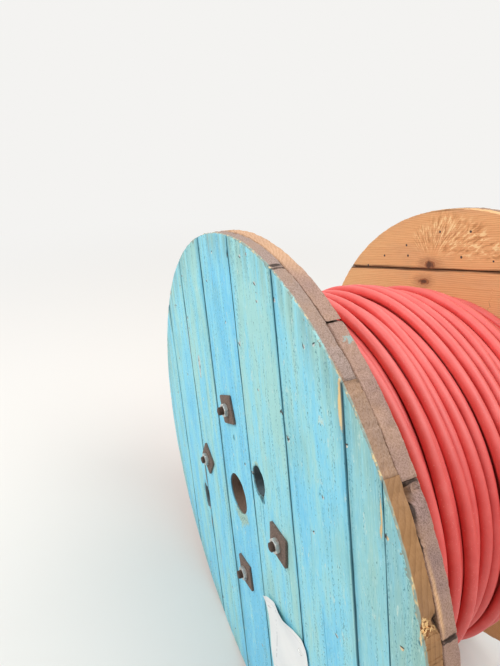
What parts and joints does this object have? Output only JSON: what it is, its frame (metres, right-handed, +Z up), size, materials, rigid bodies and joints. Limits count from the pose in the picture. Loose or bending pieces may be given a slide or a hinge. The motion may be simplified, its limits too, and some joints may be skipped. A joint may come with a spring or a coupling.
{
  "type": "wooden cable drum",
  "caption": "Wooden cable drum standing on its rims: round flanges of crossed boards, painted outside, clamped by tie rods on a stave barrel wound with thick red cable.",
  "frame": {"origin": "on the floor under the middle of the drum, halfway between its flanges", "axes": "+Z up; +Y along the drum's axis, from the near flange, which carries the paper sheet and the drive hole, to the far flange; +X to the right when looking along +Y"},
  "size_m": [1, 0.619, 1],
  "materials": {
    "painted_board": "weathered turquoise paint on sawn pine boards",
    "weathered_board": "bare sawn pine, greyed at the rim",
    "bare_pine_board": "bare planed pine",
    "stave_wood": "bare sawn pine",
    "rusty_plate": "rusted sheet steel",
    "worn_nut": "worn zinc",
    "rusty_rod": "dark rusted steel",
    "cable_sheath": "matt red sheath",
    "sheet_paper": "plain white sheet in a clear sleeve"
  },
  "bodies": {
    "root": {"barrel_staves": "stave_wood", "cable_winding": "cable_sheath", "far_inner_board_1": "bare_pine_board", "far_inner_board_2": "bare_pine_board", "far_inner_board_3": "bare_pine_board", "far_inner_board_4": "bare_pine_board", "far_inner_board_5": "bare_pine_board", "far_inner_board_6": "bare_pine_board", "far_inner_board_7": "bare_pine_board", "far_nut_1": "worn_nut", "far_nut_2": "worn_nut", "far_nut_3": "worn_nut", "far_nut_4": "worn_nut", "far_outer_board_1": "painted_board", "far_outer_board_2": "painted_board", "far_outer_board_3": "painted_board", "far_outer_board_4": "painted_board", "far_outer_board_5": "painted_board", "far_outer_board_6": "painted_board", "far_outer_board_7": "painted_board", "far_plate_1": "rusty_plate", "far_plate_2": "rusty_plate", "far_plate_3": "rusty_plate", "far_plate_4": "rusty_plate", "near_inner_board_1": "weathered_board", "near_inner_board_2": "weathered_board", "near_inner_board_3": "weathered_board", "near_inner_board_4": "weathered_board", "near_inner_board_5": "weathered_board", "near_inner_board_6": "weathered_board", "near_inner_board_7": "weathered_board", "near_nut_1": "worn_nut", "near_nut_2": "worn_nut", "near_nut_3": "worn_nut", "near_nut_4": "worn_nut", "near_outer_board_1": "painted_board", "near_outer_board_2": "painted_board", "near_outer_board_3": "painted_board", "near_outer_board_4": "painted_board", "near_outer_board_5": "painted_board", "near_outer_board_6": "painted_board", "near_outer_board_7": "painted_board", "near_outer_edge_board": "painted_board", "near_plate_1": "rusty_plate", "near_plate_2": "rusty_plate", "near_plate_3": "rusty_plate", "near_plate_4": "rusty_plate", "paper_sheet": "sheet_paper", "tie_rod_1": "rusty_rod", "tie_rod_2": "rusty_rod", "tie_rod_3": "rusty_rod", "tie_rod_4": "rusty_rod"}
  },
  "joints": []
}
